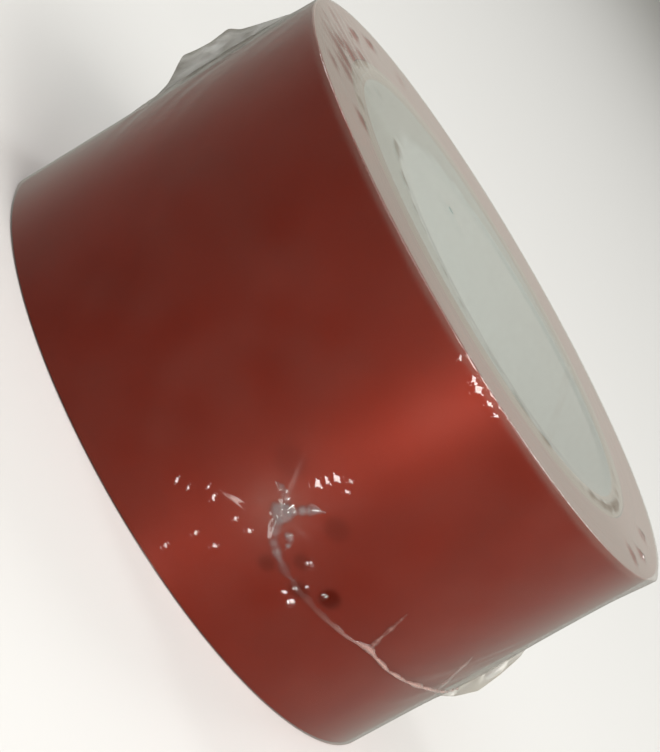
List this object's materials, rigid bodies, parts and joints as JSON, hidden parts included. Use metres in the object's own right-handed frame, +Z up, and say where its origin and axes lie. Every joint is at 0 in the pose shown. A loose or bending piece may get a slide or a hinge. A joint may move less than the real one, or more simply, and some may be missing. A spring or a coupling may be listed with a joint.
{
  "type": "electrical tape roll",
  "caption": "New roll of glossy PVC electrical tape on a paperboard core, sealed in clear shrink film with a trim seam, vent holes and small corner ears.",
  "frame": {"origin": "centre of the lower end face, on the roll's axis", "axes": "+Z up along the roll's axis; -Y is the front, where the film's pucker is, and +X the roll's right"},
  "size_m": [0.0384, 0.0367, 0.0191],
  "materials": {
    "tape": "dark red soft PVC, satin gloss",
    "core_liner": "grey paperboard, matt",
    "core_board": "brown paperboard, matt",
    "film": "clear glossy shrink film",
    "weld": "film melted to a milky bead"
  },
  "bodies": {
    "roll": {"core_inner_ply": "core_liner", "core_middle_ply": "core_board", "core_outer_ply": "core_board", "tape_winding": "tape", "tape_outer_turn": "tape", "film_top_ply": "film", "film_base_ply": "film", "seam_weld_right": "weld", "seam_weld_back": "weld", "seam_weld_left": "weld", "film_pucker": "film"},
    "ear_left": {"film_ear_left": "film"},
    "ear_right": {"film_ear_right": "film"},
    "ear_back": {"film_ear_back": "film"}
  },
  "joints": [
    {"name": "left_ear_fold", "type": "hinge", "parent": "roll", "child": "ear_left", "pos_m": [-0.01826, 0, 0.009], "axis": [0, 0, 1], "range_deg": [-60, 60], "stiffness_Nm_per_rad": 0.000002},
    {"name": "right_ear_fold", "type": "hinge", "parent": "roll", "child": "ear_right", "pos_m": [0.01826, 0, 0.009], "axis": [0, 0, 1], "range_deg": [-60, 60], "stiffness_Nm_per_rad": 0.000002},
    {"name": "back_ear_fold", "type": "hinge", "parent": "roll", "child": "ear_back", "pos_m": [-0.00473, 0.01764, 0.009], "axis": [0, 0, 1], "range_deg": [-60, 60], "stiffness_Nm_per_rad": 0.000002}
  ]
}
